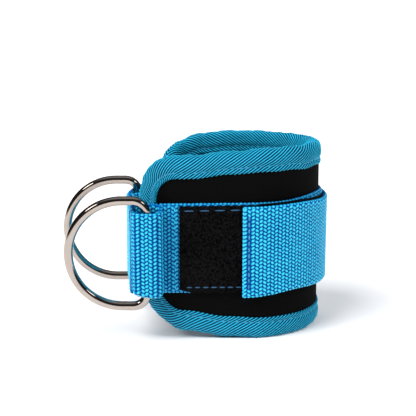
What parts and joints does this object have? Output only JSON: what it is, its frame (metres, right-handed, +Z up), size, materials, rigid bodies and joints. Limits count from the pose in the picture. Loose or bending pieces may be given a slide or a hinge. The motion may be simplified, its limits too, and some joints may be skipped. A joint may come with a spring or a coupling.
{
  "type": "ankle cuff",
  "caption": "Padded ankle cuff for cable exercise: bound neoprene pad, wrap-around webbing strap with hook-and-loop closure, and steel D-rings in webbing keepers.",
  "frame": {"origin": "middle of the cuff's box at floor level, where the pad's lower bound edge rests", "axes": "+Z up along the limb, -X the way both D-rings point, -Y the side with the loop patch and the strap's tip"},
  "size_m": [0.1552, 0.1028, 0.1055],
  "materials": {
    "lining_cloth": "smooth knitted lining",
    "foam": "closed-cell foam",
    "neoprene_skin": "matte knit over neoprene",
    "binding_tape": "twill",
    "blue_webbing": "woven herringbone webbing",
    "blue_thread": "twisted thread",
    "loop_pile": "fine loop pile",
    "hook_tape": "hook tape",
    "bright_nickel": "polished nickel plate"
  },
  "bodies": {
    "cuff_front": {"lining_front": "lining_cloth", "foam_front": "foam", "cover_front": "neoprene_skin", "edge_binding_front": "binding_tape", "binding_stitches_front": "blue_thread", "base_webbing_front": "blue_webbing", "loop_patch": "loop_pile", "loop_patch_stitches": "blue_thread", "ring_keeper_front": "blue_webbing", "keeper_stitches_front": "blue_thread"},
    "cuff_back": {"lining_back": "lining_cloth", "foam_back": "foam", "cover_back": "neoprene_skin", "edge_binding_back": "binding_tape", "binding_stitches_back": "blue_thread", "base_webbing_back": "blue_webbing"},
    "ring_front": {"d_ring_front": "bright_nickel"},
    "strap_bridge": {"strap_bridge_webbing": "blue_webbing", "ring_keeper_back": "blue_webbing"},
    "ring_back": {"d_ring_back": "bright_nickel"},
    "strap_back": {"strap_back_webbing": "blue_webbing"},
    "strap_side": {"strap_side_webbing": "blue_webbing"},
    "strap_wrap": {"strap_wrap_webbing": "blue_webbing", "hook_tape_wrap": "hook_tape"},
    "strap_tip": {"strap_tip_webbing": "blue_webbing", "hook_tape_tip": "hook_tape", "tip_hem": "blue_webbing", "tip_hem_stitches": "blue_thread"}
  },
  "joints": [
    {"name": "spine_flex", "type": "hinge", "parent": "cuff_front", "child": "cuff_back", "pos_m": [0.07473, 0.00465, 0.05275], "axis": [0, 0, -1], "range_deg": [0, 14]},
    {"name": "strap_bridge_bend", "type": "hinge", "parent": "cuff_front", "child": "strap_bridge", "pos_m": [-0.0339, -0.0368, 0.05275], "axis": [0, 0, 1], "range_deg": [0, 9.8]},
    {"name": "strap_back_bend", "type": "hinge", "parent": "strap_bridge", "child": "strap_back", "pos_m": [-0.03235, 0.02925, 0.05275], "axis": [0, 0, 1], "range_deg": [0, 28]},
    {"name": "strap_side_bend", "type": "hinge", "parent": "strap_back", "child": "strap_side", "pos_m": [0.02483, 0.05135, 0.05275], "axis": [0, 0, 1], "range_deg": [0, 38.5]},
    {"name": "strap_wrap_bend", "type": "hinge", "parent": "strap_side", "child": "strap_wrap", "pos_m": [0.06749, 0.03298, 0.05275], "axis": [0, 0, 1], "range_deg": [0, 52.5]},
    {"name": "strap_tip_peel", "type": "hinge", "parent": "strap_wrap", "child": "strap_tip", "pos_m": [0.06898, -0.02387, 0.05275], "axis": [0, 0, 1], "range_deg": [0, 70]},
    {"name": "ring_front_swing", "type": "hinge", "parent": "cuff_front", "child": "ring_front", "pos_m": [-0.02417, -0.04585, 0.05275], "axis": [0, 0, 1], "range_deg": [-30, 120]},
    {"name": "ring_back_swing", "type": "hinge", "parent": "strap_bridge", "child": "ring_back", "pos_m": [-0.03218, 0.01665, 0.05275], "axis": [0, 0, 1], "range_deg": [-75, 30]}
  ],
  "couplings": [
    {"joint": "spine_flex", "follows": "strap_tip_peel", "ratio": 0.2},
    {"joint": "strap_bridge_bend", "follows": "strap_tip_peel", "ratio": 0.14},
    {"joint": "strap_back_bend", "follows": "strap_tip_peel", "ratio": 0.4},
    {"joint": "strap_side_bend", "follows": "strap_tip_peel", "ratio": 0.55},
    {"joint": "strap_wrap_bend", "follows": "strap_tip_peel", "ratio": 0.75}
  ]
}
